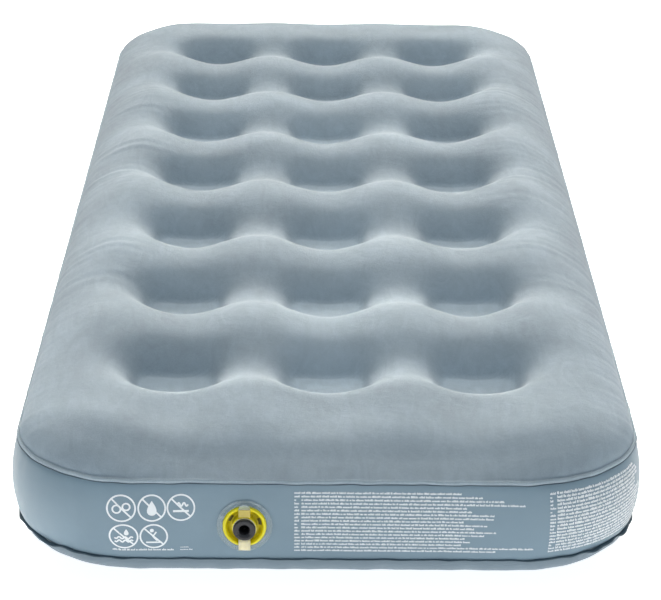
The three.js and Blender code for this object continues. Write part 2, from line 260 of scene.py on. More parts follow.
# ---- Mesh helpers ----
def new_object(name, points, faces, body="mattress", slot=None, replaces=(), material=None):
    """A smooth-shaded mesh object, which rides on a body and may stand for CAD nodes."""
    mesh = bpy.data.meshes.new(name)
    mesh.from_pydata([tuple(map(float, p)) for p in points], [],
                     [tuple(map(int, f)) for f in faces])
    mesh.validate()
    mesh.update()
    mesh.polygons.foreach_set("use_smooth", [True] * len(mesh.polygons))
    obj = bpy.data.objects.new(name, mesh)
    bpy.context.scene.collection.objects.link(obj)
    if material:
        mesh.materials.append(material)
    if body:
        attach(obj, body)
    if replaces:
        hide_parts(*replaces)
    return obj


def grid_faces(rows, columns, close_rows=False, close_columns=False, flip=False):
    """Quads between the points of a grid, which may close on itself either way."""
    j = np.arange(rows if close_rows else rows - 1)[:, None]
    i = np.arange(columns if close_columns else columns - 1)[None, :]
    right, up = (i + 1) % columns, (j + 1) % rows
    corners = [j * columns + i, j * columns + right, up * columns + right, up * columns + i]
    faces = np.stack([np.broadcast_to(c, (j.size, i.size)) for c in corners], -1).reshape(-1, 4)
    return faces[:, ::-1] if flip else faces


def perimeter():
    """Length of the seams' rounded outline."""
    return 4 * (HALF_X - CORNER_R) + 4 * (HALF_Y - CORNER_R) + 2 * math.pi * CORNER_R


def around(s):
    """Place and outward normal on the seams' outline, a distance s from the middle of the foot."""
    flat, bend, side = HALF_X - CORNER_R, math.pi / 2 * CORNER_R, 2 * (HALF_Y - CORNER_R)
    t, sign = np.abs(s), np.where(s < 0, -1.0, 1.0)
    first = np.clip((t - flat) / CORNER_R, 0, math.pi / 2)
    second = np.clip((t - flat - bend - side) / CORNER_R, 0, math.pi / 2)
    turn = first + second
    nx, ny = np.sin(turn), -np.cos(turn)
    along_front = np.clip(t, 0, flat)
    along_side = np.clip(t - flat - bend, 0, side)
    along_back = np.clip(t - flat - 2 * bend - side, 0, flat)
    x = along_front + CORNER_R * nx * (turn > 0) - along_back
    y = -(HALF_Y - CORNER_R) + CORNER_R * ny + along_side
    return sign * x, y + CENTRE_Y, sign * nx, ny


def corner_share(s):
    """1 in the middle of each rounded corner, 0 along the straight sides."""
    _, _, nx, ny = around(s)
    return np.clip(2 * np.abs(nx * ny), 0, 1)


def stations():
    """Distances along the seams' outline, one grid step apart."""
    half = perimeter() / 2
    return np.linspace(-half, half, int(perimeter() / GRID), endpoint=False)


def band(name, profile, **finish):
    """A closed ring round the mattress. profile(s) lists the (out, z) pairs of its section."""
    s = stations()
    x, y, nx, ny = around(s)
    section = profile(s)
    points = [np.stack([x + nx * out, y + ny * out, np.broadcast_to(z, s.shape)], -1)
              for out, z in section]
    points = np.stack(points, 0).reshape(-1, 3)
    faces = grid_faces(len(section), len(s), close_rows=True, close_columns=True)
    return new_object(name, points, faces, **finish)


# ---- Materials ----
def nodes_of(name):
    """A new material with its node tree and its shader."""
    material = bpy.data.materials.new(name)
    material.use_nodes = True
    tree = material.node_tree
    return material, tree, tree.nodes["Principled BSDF"]


def node(tree, kind, inputs=(), **settings):
    """A new node, with its inputs set to values or linked to other nodes' outputs."""
    made = tree.nodes.new(kind)
    for key, value in settings.items():
        setattr(made, key, value)
    for key, value in dict(inputs).items():
        if isinstance(value, bpy.types.NodeSocket):
            tree.links.new(value, made.inputs[key])
        else:
            made.inputs[key].default_value = value
    return made


def place(tree, stretch=(1, 1, 1), turn=0.0):
    """Object coordinates, stretched and turned."""
    coordinates = node(tree, "ShaderNodeTexCoord")
    return node(tree, "ShaderNodeMapping", {"Vector": coordinates.outputs["Object"],
                "Scale": stretch, "Rotation": (0, 0, turn)}).outputs["Vector"]


def noise(tree, where, scale, detail=3, roughness=0.5, distortion=0.0):
    """A noise value of about 0.3 to 0.7."""
    return node(tree, "ShaderNodeTexNoise", {"Vector": where, "Scale": scale, "Detail": detail,
                "Roughness": roughness, "Distortion": distortion}).outputs["Fac"]


def remap(tree, value, low, high, to_low, to_high):
    """A value stretched from one range to another."""
    return node(tree, "ShaderNodeMapRange", {"Value": value, "From Min": low, "From Max": high,
                "To Min": to_low, "To Max": to_high}).outputs["Result"]


def vary(tree, value, amount, half_range=0.2):
    """A brightness that a noise value moves by the given amount either side of 1."""
    return remap(tree, value, 0.5 - half_range, 0.5 + half_range, 1 - amount, 1 + amount)


def times(tree, a, b):
    return node(tree, "ShaderNodeMath", {0: a, 1: b}, operation="MULTIPLY").outputs[0]


def tinted(tree, colour, factor):
    """colour times a varying brightness."""
    grey = node(tree, "ShaderNodeCombineColor", {"Red": factor, "Green": factor, "Blue": factor})
    mix = node(tree, "ShaderNodeMix", {"Factor": 1, "A": (*colour, 1), "B": grey.outputs["Color"]},
               data_type="RGBA", blend_type="MULTIPLY")
    return mix.outputs["Result"]


def bump(tree, shader, height, distance, strength=1.0, after=None):
    """Relief on a shader's surface, on top of an earlier bump if there is one."""
    made = node(tree, "ShaderNodeBump", {"Height": height, "Distance": distance,
                "Strength": strength})
    if after:
        tree.links.new(after.outputs["Normal"], made.inputs["Normal"])
    tree.links.new(made.outputs["Normal"], shader.inputs["Normal"])
    return made


def flock(name, colour):
    """Short velvety flock: brushed patches, strokes and a fine nap, times the painted light and shade
    that a mesh attribute carries.
    """
    material, tree, shader = nodes_of(name)
    here = place(tree)
    brushed = place(tree, stretch=(1, 0.35, 1), turn=0.5)
    patches = vary(tree, noise(tree, here, 5.5, 4, 0.55, 0.8), 0.10)
    strokes = vary(tree, noise(tree, brushed, 42, 4, 0.6, 1.6), 0.06)
    nap = vary(tree, noise(tree, here, 900, 2), 0.07, half_range=0.25)
    # painted light and shade: a mesh attribute that brightens the welded floors and darkens the rolls
    painted_shading = node(tree, "ShaderNodeAttribute", attribute_name="painted_shading").outputs["Fac"]
    painted_shading_factor = node(tree, "ShaderNodeMath", {0: painted_shading, 1: 1.0}, operation="ADD").outputs[0]
    shade = times(tree, times(tree, times(tree, patches, strokes), nap), painted_shading_factor)
    tree.links.new(tinted(tree, colour, shade), shader.inputs["Base Color"])
    shader.inputs["Roughness"].default_value = 0.95
    shader.inputs["Specular IOR Level"].default_value = 0.2
    shader.inputs["Sheen Weight"].default_value = 0.05
    shader.inputs["Sheen Roughness"].default_value = 0.3
    shader.inputs["Sheen Tint"].default_value = (1, 0.98, 0.95, 1)
    coarse = bump(tree, shader, noise(tree, here, 70, 5, 0.6), 1.2 * MM, 0.5)
    bump(tree, shader, noise(tree, here, 1100, 2), 0.35 * MM, 0.6, coarse)
    return material


def film(name, colour, roughness=0.42):
    """Calendered PVC film: satin, with faint haze and a slight orange peel."""
    haze = 0.05
    material, tree, shader = nodes_of(name)
    here = place(tree)
    cloud = vary(tree, noise(tree, here, 9, 4, 0.6, 0.5), haze)
    tree.links.new(tinted(tree, colour, cloud), shader.inputs["Base Color"])
    gloss = remap(tree, noise(tree, here, 22, 5, 0.65), 0.3, 0.7,
                  roughness - 0.06, roughness + 0.08)
    tree.links.new(gloss, shader.inputs["Roughness"])
    shader.inputs["Specular IOR Level"].default_value = 0.4
    broad = bump(tree, shader, noise(tree, here, 26, 3), 1.5 * MM, 0.35)
    bump(tree, shader, noise(tree, here, 420, 2), 0.15 * MM, 0.5, broad)
    return material


def moulding(name, colour, roughness=0.3, opacity=1.0, glow=0.0, variation=0.05):
    """A soft plastic moulding, opaque or translucent."""
    material, tree, shader = nodes_of(name)
    here = place(tree)
    cloud = vary(tree, noise(tree, here, 90, 3), variation)
    tree.links.new(tinted(tree, colour, cloud), shader.inputs["Base Color"])
    gloss = remap(tree, noise(tree, here, 150, 3), 0.3, 0.7, roughness * 0.8, roughness * 1.25)
    tree.links.new(gloss, shader.inputs["Roughness"])
    shader.inputs["Alpha"].default_value = opacity
    shader.inputs["IOR"].default_value = 1.47
    shader.inputs["Subsurface Weight"].default_value = glow
    shader.inputs["Subsurface Radius"].default_value = (0.004, 0.004, 0.001)
    bump(tree, shader, noise(tree, here, 600, 2), 0.05 * MM, 0.4)
    return material


FLOCK = flock("flock", (0.32, 0.395, 0.455))
WELT = flock("flock_welt", (0.335, 0.41, 0.465))
WALL = film("wall_film", (0.212, 0.302, 0.367))
BASE = film("base_film", (0.195, 0.255, 0.30), 0.48)
# painted shade: the bottom fin's film is far darker than the wall, for the shade along the bottom
# seam
SEAM_PAINTED_SHADE = film("seam_film", (0.085, 0.13, 0.16), 0.5)
# painted shadow: the top fin's film is far darker than the wall, for the shadow under the bead
SEAM_PAINTED_SHADOW = film("seam_film_soft", (0.105, 0.155, 0.195), 0.5)
COIL = film("coil_film", (0.5, 0.56, 0.6))
YELLOW = moulding("yellow_pvc", (0.90, 0.78, 0.015), 0.15, glow=0.25)
# painted shade: a darker yellow for the cup's recess, for the shade inside it
RECESS_PAINTED_SHADE = moulding("recess_painted_shade", (0.62, 0.52, 0.01), 0.3, variation=0.25)
CLEAR = moulding("clear_pvc", (0.50, 0.60, 0.65), 0.06, opacity=0.3)
# painted shade: near-black yellow for the shade inside the recess slots
SLOT_PAINTED_SHADE = moulding("recess_slot", (0.10, 0.085, 0.01), 0.4)
CREAM = moulding("cream_pvc", (0.88, 0.80, 0.52), 0.3, glow=0.2)
BEIGE = moulding("beige_pvc", (0.80, 0.66, 0.18), 0.25, opacity=0.62)
BLACK = moulding("black_rubber", (0.022, 0.021, 0.024), 0.3)
INK = moulding("white_ink", (0.90, 0.93, 0.95), 0.5)

# ---- Top and bottom sheets ----
lift, lift_axes = pressed_membrane(GRID)


def seam_creases(x, y, inset, waves, seed):
    """Small puckers that run in from a seam and die out."""
    depth, start = 22 * MM, 4 * MM
    crease = np.exp(-inset / depth) * smooth(inset / start)
    along = np.where(np.abs(x) > np.abs(y) * HALF_X / HALF_Y, y, x)
    return SEAM_PUCKER * crease * ripples(along, waves, seed)


def ridge_scallop(x, y):
    """The ridges stand higher between the columns of dimples, and lower in line with them."""
    dx, dy = nearest_coil(x, y)
    rows_off = np.abs(dy) / ROW_PITCH
    in_line = np.cos(math.pi * np.clip(np.abs(dx) / COLUMN_PITCH, 0, 0.5)) ** 2
    on_ridge = np.sin(math.pi * np.minimum(rows_off, 0.5)) ** 2
    on_ridge = on_ridge * (1 - smooth(np.maximum(rows_off - 0.5, 0) / SCALLOP_FADE))
    calmer = 1 - END_CALM * smooth((np.abs(y) - HALF_Y + CALM_INSET) / CALM_FADE)
    return SCALLOP * (0.5 - in_line) * on_ridge * calmer


def flank_wrinkles(x, y, inset):
    """Fine wrinkles across the flanks, slightly aslant and in bundles, away from the ends."""
    flank_from, flank_fade = 0.20, 0.09
    wrinkled_to, end_fade = 0.62, 0.3
    slant = 0.12
    flank = smooth((np.abs(x) - flank_from) / flank_fade)
    flank = flank * smooth((wrinkled_to - np.abs(y)) / end_fade)
    fine = ripples(y + slant * x, (0.023, 0.031, 0.041), 12) * ripples(y, (0.29, 0.17), 13)
    return FLANK_WRINKLE * flank * fine * smooth(inset / (10 * MM))


def painted_light_and_shade(x, y, inset):
    """Painted light and shade in the flock: paler on the dimples' welded floors, darker on the rolls,
    away from the foot.
    """
    dark_from, dark_fade = -0.7, 0.3
    on_rolls = np.exp(-(inset / ROLL_BLUR) ** 2) * smooth((y - dark_from) / dark_fade)
    return FLOOR_PAINTED_LIGHT * floor_cover(x, y, WELD_BLUR) - ROLL_PAINTED_SHADE * on_rolls


def top_sheet():
    x, y, inset = plan_grid(GRID)
    inner = smooth(inset / SIDE_ROLL)
    dip = 1 - sample(lift, lift_axes, x, y)
    dx, _ = nearest_coil(x, y)
    off_middle = np.clip(np.abs(dx) / floor_half[0], 0, 1.3)  # 1 at the side of a floor
    depth = TOP_DIP * (1 - FLOOR_LIFT * off_middle ** 2)
    rise = edge_rise(inset, x, y)
    z = TOP_SEAM + (CREST - TOP_SEAM) * rise - depth * dip * inner
    z = z - END_DROP * (y / HALF_Y) ** 2 * rise
    z = z + ridge_scallop(x, y) * inner
    from_foot_crest = y + HALF_Y - FOOT_CREST_INSET
    z = z - FOOT_SAG * np.exp(-(from_foot_crest / FOOT_CREST_WIDTH) ** 2) * inner
    z = z + SHEET_WAVE * mottle(x, y, SHEET_WAVE_SIZE, 3) * inner
    z = z + seam_creases(x, y, inset, (0.031, 0.047, 0.073, 0.019), 5)
    z = z + flank_wrinkles(x, y, inset)
    points = np.stack([x, y + CENTRE_Y, z], -1).reshape(-1, 3)
    made = new_object("top_cover", points, grid_faces(*x.shape), slot="flocked_top",
                      replaces=["top_sheet"], material=FLOCK)
    # painted light and shade, stored per point for the flock to multiply its colour by
    painted_shading = made.data.attributes.new("painted_shading", "FLOAT", "POINT")
    painted_shading.data.foreach_set("value", painted_light_and_shade(x, y, inset).ravel())
    return made


def bottom_sheet():
    x, y, inset = plan_grid(2 * GRID)
    flat_from = 0.85  # in ridge heights: the film above this rests flat on the ground
    dip = np.clip((flat_from - sample(lift, lift_axes, x, y)) / flat_from, 0, 1)
    under = np.clip(1 - inset / BASE_ROLL, 0, 1)
    z = BOTTOM_SEAM * (1 - np.sqrt(1 - under ** 2)) + BOTTOM_DIP * dip * smooth(inset / SIDE_ROLL)
    z = np.maximum(0, z + seam_creases(x, y, inset, (0.033, 0.051, 0.081), 8))
    points = np.stack([x, y + CENTRE_Y, z], -1).reshape(-1, 3)
    return new_object("bottom_cover", points, grid_faces(*x.shape, flip=True), slot="pvc_base",
                      replaces=["bottom_sheet"], material=BASE)


top_sheet()
bottom_sheet()

# ---- Side wall ----
WALL_LEVELS = 25
WALL_FULLNESS = 0.7  # power of the sine that the wall's section follows
CORNER_SWELL = 8 * MM  # how much further the wall bulges at the rounded corners
CORNER_REACH = 160 * MM
WALL_PUCKER = 0.7 * MM  # small folds where the seams draw the wall in
PUCKER_FADE = 8
WALL_WAVE = 0.5 * MM
VALVE_FLAT_R = 31 * MM  # the wall is flat under the valve's flange
VALVE_FLAT_FADE = 14 * MM
VALVE_FLAT_POWER = 0.4
VALVE_HOLE_R = 25.2 * MM
FACING_FOOT = -0.99  # the outward normal's y is below this on the foot's straight side


def near_corner(s):
    """1 in the middle of each rounded corner, fading out along the straight sides."""
    corner_middle = HALF_X - CORNER_R + math.pi / 4 * CORNER_R
    from_end = np.minimum(np.abs(s), perimeter() / 2 - np.abs(s))
    return np.exp(-((from_end - corner_middle) / CORNER_REACH) ** 2)


def wall_out(s, t):
    """How far the wall stands out of the seams' outline; t is 0 at the bottom seam, 1 at the top."""
    middle = np.sin(math.pi * np.clip(t, 0, 1))
    swell = (BULGE + CORNER_SWELL * near_corner(s)) * middle ** WALL_FULLNESS
    near_seam = np.exp(-(1 - t) * PUCKER_FADE) + np.exp(-t * PUCKER_FADE)
    pucker = WALL_PUCKER * ripples(s, (0.027, 0.043, 0.068, 0.017), 21) * near_seam
    uneven = WALL_WAVE * mottle(s, t * 0.1, 0.16, 9, 2)
    return swell + pucker * middle ** 0.5 + uneven * middle


def wall_points(s, t, proud=0.0):
    """Points on the wall at distances along the outline and shares of its height."""
    x, y, nx, ny = around(s)
    out = wall_out(s, t) + proud
    z = BOTTOM_SEAM + (TOP_SEAM - BOTTOM_SEAM) * t
    reach = np.hypot(x - VALVE[0], z - VALVE[2])
    at_valve = (ny < FACING_FOOT) & (reach < 3 * VALVE_FLAT_R)
    flat = np.where(at_valve, 1 - smooth((reach - VALVE_FLAT_R) / VALVE_FLAT_FADE), 0)
    flat = flat * np.sin(math.pi * np.clip(t, 0, 1)) ** VALVE_FLAT_POWER
    out = out * (1 - flat) + (BULGE + proud) * flat
    return np.stack([x + nx * out, y + ny * out, z], -1)


def side_wall():
    s = stations()
    t = np.linspace(0, 1, WALL_LEVELS)
    points = wall_points(*np.meshgrid(s, t)).reshape(-1, 3)
    faces = grid_faces(WALL_LEVELS, len(s), close_columns=True)
    offset = points - VALVE
    reach = np.hypot(offset[:, 0], offset[:, 2])
    at_valve = points[:, 1] < CENTRE_Y - HALF_Y + BULGE
    inside = at_valve & (reach < VALVE_HOLE_R)
    kept = faces[~inside[faces].all(1)]
    rim = np.intersect1d(np.nonzero(inside)[0], kept)
    scale = VALVE_HOLE_R / np.maximum(reach[rim], 1e-6)
    points[rim, 0] = VALVE[0] + offset[rim, 0] * scale
    points[rim, 2] = VALVE[2] + offset[rim, 2] * scale
    return new_object("wall_band", points, kept, slot="pvc_wall", replaces=["side_wall"],
                      material=WALL)


side_wall()


# ---- Weld seams ----
def rounded(out, z, half_out, half_z, count=8):
    """Section of a rounded bead, as (out, z) pairs; out and z may vary round the mattress."""
    turns = np.linspace(0, 2 * math.pi, count, endpoint=False)
    return [(out + half_out * math.cos(a), z + half_z * math.sin(a)) for a in turns]


def seam_wave(s):
    """The slow waver of the top seam."""
    return ripples(s, (0.21, 0.083, 0.045), 31)


def welt_section(s):
    """The flocked bead on top of the top seam."""
    half_out, half_z = 2.2 * MM, 2.9 * MM
    z = TOP_SEAM + 1.6 * MM + 0.5 * MM * seam_wave(s)
    return rounded(0.6 * MM, z, half_out, half_z, 10)


def top_fin_section(s):
    """The thin edge of film under the bead, painted dark as the shadow under the bead."""
    half_out, half_z = 2.2 * MM, 0.6 * MM
    wave = seam_wave(s) + 0.6 * ripples(s, (0.027, 0.038), 32)
    out = 1.1 * MM + 0.3 * MM * wave
    z = TOP_SEAM - 1.2 * MM + 0.5 * MM * wave
    return rounded(out, z, half_out, half_z)


def bottom_fin_section(s):
    """The bottom seam's edge, which is wider and wavier at the corners, and painted dark as shade."""
    corner = corner_share(s)
    half_out, half_z = 2.2 * MM + 1.2 * MM * corner, 0.8 * MM + 0.5 * MM * corner
    wave = ripples(s, (0.061, 0.093, 0.034), 41)
    out = 0.6 * MM + 1.6 * MM * corner + (0.3 + 1.0 * corner) * MM * wave
    z = BOTTOM_SEAM + (0.4 + 1.0 * corner) * MM * ripples(s, (0.047, 0.071, 0.029), 42)
    return rounded(out, z, half_out, half_z)


band("top_welt", welt_section, slot="flocked_top", material=WELT)
# painted shadow under the bead
band("top_fin", top_fin_section, slot="pvc_seam", replaces=["top_seam_fin"], material=SEAM_PAINTED_SHADOW)
# painted shade along the bottom seam
band("bottom_fin", bottom_fin_section, slot="pvc_seam", replaces=["bottom_seam_fin"],
     material=SEAM_PAINTED_SHADE)


# ---- Valve ----
def on_valve(x, z, out):
    """A point at x and z from the valve's axis, out of the wall's plane."""
    return (VALVE[0] + x, VALVE[1] - out, VALVE[2] + z)


def turned(name, profile, inner=None, inner_material=None, **finish):
    """A closed ring turned on the valve's axis from (radius, out) pairs in millimetres.

    The rows of faces whose numbers are in inner have a material of their own.
    """
    segments = 72
    angles = np.linspace(0, 2 * math.pi, segments, endpoint=False)
    points = [on_valve(r * MM * math.cos(a), r * MM * math.sin(a), out * MM)
              for r, out in profile for a in angles]
    faces = grid_faces(len(profile), segments, close_rows=True, close_columns=True)
    made = new_object(name, points, faces, **finish)
    if inner_material:
        made.data.materials.append(inner_material)
        for k, polygon in enumerate(made.data.polygons):
            polygon.material_index = int(k // segments in inner)
    return made


def plate(name, outline, low, high, bevel, **finish):
    """A flat piece on the valve's face from an outline of (x, z) pairs, with rounded edges."""
    count = len(outline)
    points = [on_valve(x * MM, z * MM, out * MM) for out in (low, high) for x, z in outline]
    faces = [tuple(range(count))[::-1], tuple(range(count, 2 * count))]
    mesh = bpy.data.meshes.new(name)
    sides = [(k, (k + 1) % count, count + (k + 1) % count, count + k) for k in range(count)]
    mesh.from_pydata(points, [], faces + sides)
    mesh.update()
    blank = bpy.data.objects.new(name + "_blank", mesh)
    bpy.context.scene.collection.objects.link(blank)
    rounding = blank.modifiers.new("rounding", "BEVEL")
    rounding.width = bevel * MM
    rounding.segments = 3
    rounding.limit_method = "ANGLE"
    rounded_mesh = blank.evaluated_get(bpy.context.evaluated_depsgraph_get()).data
    made_points = [v.co.copy() for v in rounded_mesh.vertices]
    made_faces = [tuple(p.vertices) for p in rounded_mesh.polygons]
    bpy.data.objects.remove(blank)
    return new_object(name, made_points, made_faces, **finish)


def arc(radius, start, end, count, z):
    """Points of an arc round (0, z), from one angle in degrees to another."""
    angles = np.radians(np.linspace(start, end, count))
    return [(radius * math.cos(a), z + radius * math.sin(a)) for a in angles]


# The valve's distances are in millimetres, the same as on the CAD model: _R is a radius, _OUT and
# _FROM are distances out of the wall's face, and _IN is a distance behind it.
# NEAR and FAR are the ends of a recess slot, and FROM and TO those of the seal ring's groove.
CUP_R, RIM_OUT = 25, 5.5
STEM_R, STEM_BORE, STEM_OUT, STEM_IN = 14.2, 11, 8.5, 17
SLOT_NEAR_R, SLOT_FAR_R = 16.0, 19.6
BARREL_R, NOZZLE_R, BARREL_IN = 10.5, 6, 19
SEAL_FROM, SEAL_TO = -9.6, -6.4
GRIP_R, GRIP_FROM, GRIP_THICK = 13, 10.5, 4
GRIP_OUT = GRIP_FROM + GRIP_THICK
STRAP_FROM, STRAP_THICK, STRAP_HALF = 8.9, 1.2, 6.8
TAB_ROOT, TAB_REACH, TAB_END = 14.4, 31, 6.5


def cup():
    """The yellow cup: a rounded rim, a recess and the stem that the stopper plugs; the recess is
    painted a darker yellow as shade.
    """
    # the recess's rows take the painted shade
    recess = range(8, 14)
    turned("cup_moulding", [
        (CUP_R, -6), (CUP_R + 0.2, 1), (CUP_R + 0.1, 3.2), (CUP_R - 0.5, 4.8),
        (CUP_R - 1.5, RIM_OUT), (CUP_R - 2.6, RIM_OUT + 0.1), (CUP_R - 3.6, RIM_OUT - 0.6),
        (CUP_R - 4.3, 3.4), (CUP_R - 4.8, 1.2), (CUP_R - 5.8, -0.8), (CUP_R - 7.5, -2.1),
        (STEM_R + 1.2, -2.8), (STEM_R + 0.3, -2.4), (STEM_R, -1.2), (STEM_R, STEM_OUT - 1),
        (STEM_R - 0.5, STEM_OUT - 0.2), (STEM_R - 1.2, STEM_OUT), (STEM_BORE + 0.7, STEM_OUT),
        (STEM_BORE, STEM_OUT - 0.7), (STEM_BORE, -STEM_IN), (STEM_R - 1, -STEM_IN),
        (STEM_R - 1, -6),
    ], slot="yellow_valve", replaces=["valve_cup"], material=YELLOW, inner=recess,
        inner_material=RECESS_PAINTED_SHADE)


def recess_slot(name, middle, half):
    """A slot in the floor of the cup's recess, round the valve's axis, painted dark as the shade
    inside it; angles in degrees.
    """
    angles = np.radians(np.linspace(middle - half, middle + half, 9))
    section = ((SLOT_NEAR_R, -2.55), (SLOT_NEAR_R, -2.0), (SLOT_FAR_R, -0.2), (SLOT_FAR_R, -0.75))
    points = [on_valve(r * MM * math.cos(a), r * MM * math.sin(a), out * MM)
              for r, out in section for a in angles]
    faces = [tuple(f) for f in grid_faces(len(section), len(angles), close_rows=True)]
    ends = [tuple(range(k, len(points), len(angles))) for k in (0, len(angles) - 1)]
    new_object(name, points, faces + [ends[0], ends[1][::-1]], slot="yellow_valve",
               material=SLOT_PAINTED_SHADE)


def flange():
    """The clear disc that is welded to the wall, with a low ring round the cup."""
    hole = CUP_R + 0.6
    turned("flange_disc", [
        (hole, 0.9), (31.6, 0.9), (32.1, 1.2), (32.2, 1.6), (31.8, 2.0), (30.8, 2.0),
        (29.5, 1.7), (28.4, 2.0), (27.5, 3.0), (26.6, 3.6), (hole, 3.5),
    ], slot="clear_pvc", replaces=["valve_flange"], material=CLEAR)


def stopper():
    """The black stopper: a barrel with a groove for the seal ring, a grip and a nozzle hole."""
    groove_r = BARREL_R - 1.2
    turned("stopper_moulding", [
        (NOZZLE_R, -BARREL_IN), (BARREL_R - 1, -BARREL_IN), (BARREL_R, 1 - BARREL_IN),
        (BARREL_R, SEAL_FROM), (groove_r, SEAL_FROM), (groove_r, SEAL_TO),
        (BARREL_R, SEAL_TO), (BARREL_R, GRIP_FROM), (GRIP_R - 0.6, GRIP_FROM),
        (GRIP_R, GRIP_FROM + 0.6), (GRIP_R, GRIP_OUT - 1.4), (GRIP_R - 0.5, GRIP_OUT - 0.5),
        (GRIP_R - 1.6, GRIP_OUT), (NOZZLE_R + 3.4, GRIP_OUT), (NOZZLE_R + 2.7, GRIP_OUT - 0.5),
        (NOZZLE_R + 1.0, GRIP_OUT - 1.0), (NOZZLE_R, GRIP_OUT - 1.8),
    ], body="stopper", slot="black_stopper", replaces=["inflation_stopper"], material=BLACK)


def pull_tab():
    """The tab above the stopper: a strap and a thicker clear round end."""
    split, gap = TAB_REACH - TAB_END, 0.1
    strap = [(-STRAP_HALF, split), (-STRAP_HALF, TAB_ROOT), (STRAP_HALF, TAB_ROOT),
             (STRAP_HALF, split)]
    plate("pull_tab_strap", strap, STRAP_FROM, STRAP_FROM + STRAP_THICK, 0.35,
          body="pull_tab_body", slot="strap_pvc", replaces=["pull_tab"], material=BEIGE)
    end = [(STRAP_HALF, split + gap)]
    end += arc(STRAP_HALF, 0, 180, 16, TAB_REACH - STRAP_HALF)
    end += [(-STRAP_HALF, split + gap)]
    plate("pull_tab_end", end, STRAP_FROM + 0.1, STRAP_FROM + STRAP_THICK + 0.7, 0.4,
          body="pull_tab_body", slot="clear_pvc", material=CLEAR)


def strap_tether():
    """The strap from the stopper's collar down over the cup's rim to the flange."""
    path = [(-13.2, STRAP_FROM + 0.6), (-18, STRAP_FROM + 0.7), (-23, STRAP_FROM + 0.5),
            (-26.5, STRAP_FROM - 0.2), (-28.3, STRAP_FROM - 2.2), (-28.9, 4.6), (-29, 3.0)]
    rows = []
    for k, (z, out) in enumerate(path):
        before, after = path[max(0, k - 1)], path[min(len(path) - 1, k + 1)]
        along = np.array(after) - np.array(before)
        across = np.array([along[1], -along[0]]) / np.hypot(*along) * -STRAP_THICK / 2
        rows.append([(x, z + across[0] * side, out + across[1] * side)
                     for side, x in ((1, -STRAP_HALF), (1, STRAP_HALF),
                                     (-1, STRAP_HALF), (-1, -STRAP_HALF))])
    points = [on_valve(x * MM, z * MM, out * MM) for row in rows for x, z, out in row]
    faces = [tuple(f) for f in grid_faces(len(rows), 4, close_columns=True)]
    last = 4 * (len(rows) - 1)
    faces += [(3, 2, 1, 0), (last, last + 1, last + 2, last + 3)]
    made = new_object("strap_tether", points, faces, body=None, slot="strap_pvc",
                      replaces=["anchor_tab"], material=CREAM)
    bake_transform(made)


cup()
recess_slot("recess_slot_left", middle=152, half=13)
recess_slot("recess_slot_right", middle=14, half=13)
flange()
stopper()
pull_tab()
strap_tether()


# ---- Carried CAD nodes ----
def refinish(material, *names):
    """Gives CAD nodes that show as they are a material of this scene."""
    for name in names:
        for slot in bpy.data.objects[name].material_slots:
            slot.material = material


refinish(COIL, *[f"coil_beam_row{r + 1}_{side}" for r in range(ROWS) for side in SIDES])
refinish(BLACK, "stopper_seal_ring", "check_flap")
refinish(CREAM, "strap_collar")

# ---- Prints on the foot wall: generic marks and bars in place of the symbols and text ----
INK_PROUD = 0.25 * MM
STROKE = 2.0 * MM
SYMBOL_R = 15.4 * MM
SYMBOL_CUT = 0.707  # share of the radius to the ends of a symbol's cross stroke, each way
TEXT_TOP = 119.5 * MM  # height of the first line
TEXT_LINES = 18
LINE_PITCH = 4.3 * MM
LINE_HEIGHT = 2.5 * MM
CORNER_LINE_HEIGHT = 3.1 * MM


def wall_mesh(name, polygons, material):
    """Polygons laid on the wall, from (distance from the middle of the foot, height) pairs."""
    s = np.array([q[0] for polygon in polygons for q in polygon])
    z = np.array([q[1] for polygon in polygons for q in polygon])
    t = (z - BOTTOM_SEAM) / (TOP_SEAM - BOTTOM_SEAM)
    points = wall_points(s, t, INK_PROUD)
    faces, at = [], 0
    for polygon in polygons:
        faces.append(tuple(range(at, at + len(polygon))))
        at += len(polygon)
    return new_object(name, points, faces, slot="pvc_wall", material=material)


def stroke_path(path, width):
    """Quads along a line of (s, z) points."""
    path = np.array(path)
    along = np.gradient(path, axis=0)
    along /= np.hypot(along[:, 0], along[:, 1])[:, None]
    side = np.stack([-along[:, 1], along[:, 0]], -1) * width / 2
    left, right = path + side, path - side
    return [[right[k], right[k + 1], left[k + 1], left[k]] for k in range(len(path) - 1)]


def circle(s, z, radius, count=40):
    """Points of a closed circle, the first one repeated at the end."""
    return [(s + radius * math.cos(a), z + radius * math.sin(a))
            for a in np.linspace(0, 2 * math.pi, count + 1)]


def wave(s, z, half, height, crests):
    """A wavy line, half to each side of s."""
    return [(s + half * u, z + height * math.sin(math.pi * crests * u))
            for u in np.linspace(-1, 1, 25)]


def drop(s, z, size):
    """A pointed drop, standing up."""
    half_wide, half_high, point = size * 0.5, size * 0.6, 1.2
    return [(s + half_wide * math.sin(a) * math.sin(a / 2) ** point, z + half_high * math.cos(a))
            for a in np.linspace(0, 2 * math.pi, 24, endpoint=False)]


def bar(s, z, half):
    """A level line."""
    return [(s - half, z), (s, z), (s + half, z)]


